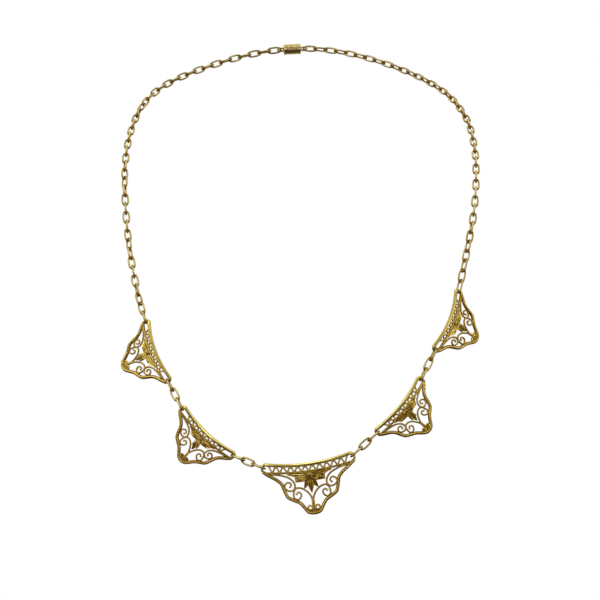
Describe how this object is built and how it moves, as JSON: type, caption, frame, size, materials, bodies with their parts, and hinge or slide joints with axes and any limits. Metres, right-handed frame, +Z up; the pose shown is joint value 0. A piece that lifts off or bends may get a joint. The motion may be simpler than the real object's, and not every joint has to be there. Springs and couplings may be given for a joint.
{
  "type": "draped necklace",
  "caption": "Yellow gold necklace of pierced scrollwork plaques joined corner to corner by short links on a cable chain",
  "frame": {"origin": "the nape of the neck: the middle of the chain behind the neck, where the necklace hangs", "axes": "+Z up, the wearer faces -Y, +X to the right in a view from the front"},
  "size_m": [0.1145, 0.115, 0.152],
  "materials": {
    "plaque_gold": "polished, with darker recesses",
    "chain_gold": "polished",
    "clasp_gold": "polished"
  },
  "bodies": {
    "root": {"plaque_center": "plaque_gold", "plaque_mid_left": "plaque_gold", "plaque_mid_right": "plaque_gold", "plaque_outer_left": "plaque_gold", "plaque_outer_right": "plaque_gold", "link_left_1": "chain_gold", "link_left_2": "chain_gold", "link_left_3": "chain_gold", "link_left_4": "chain_gold", "link_left_5": "chain_gold", "link_left_6": "chain_gold", "link_right_1": "chain_gold", "link_right_2": "chain_gold", "link_right_3": "chain_gold", "link_right_4": "chain_gold", "link_right_5": "chain_gold", "link_right_6": "chain_gold", "chain_left": "chain_gold", "chain_right": "chain_gold", "clasp": "clasp_gold"}
  },
  "joints": []
}
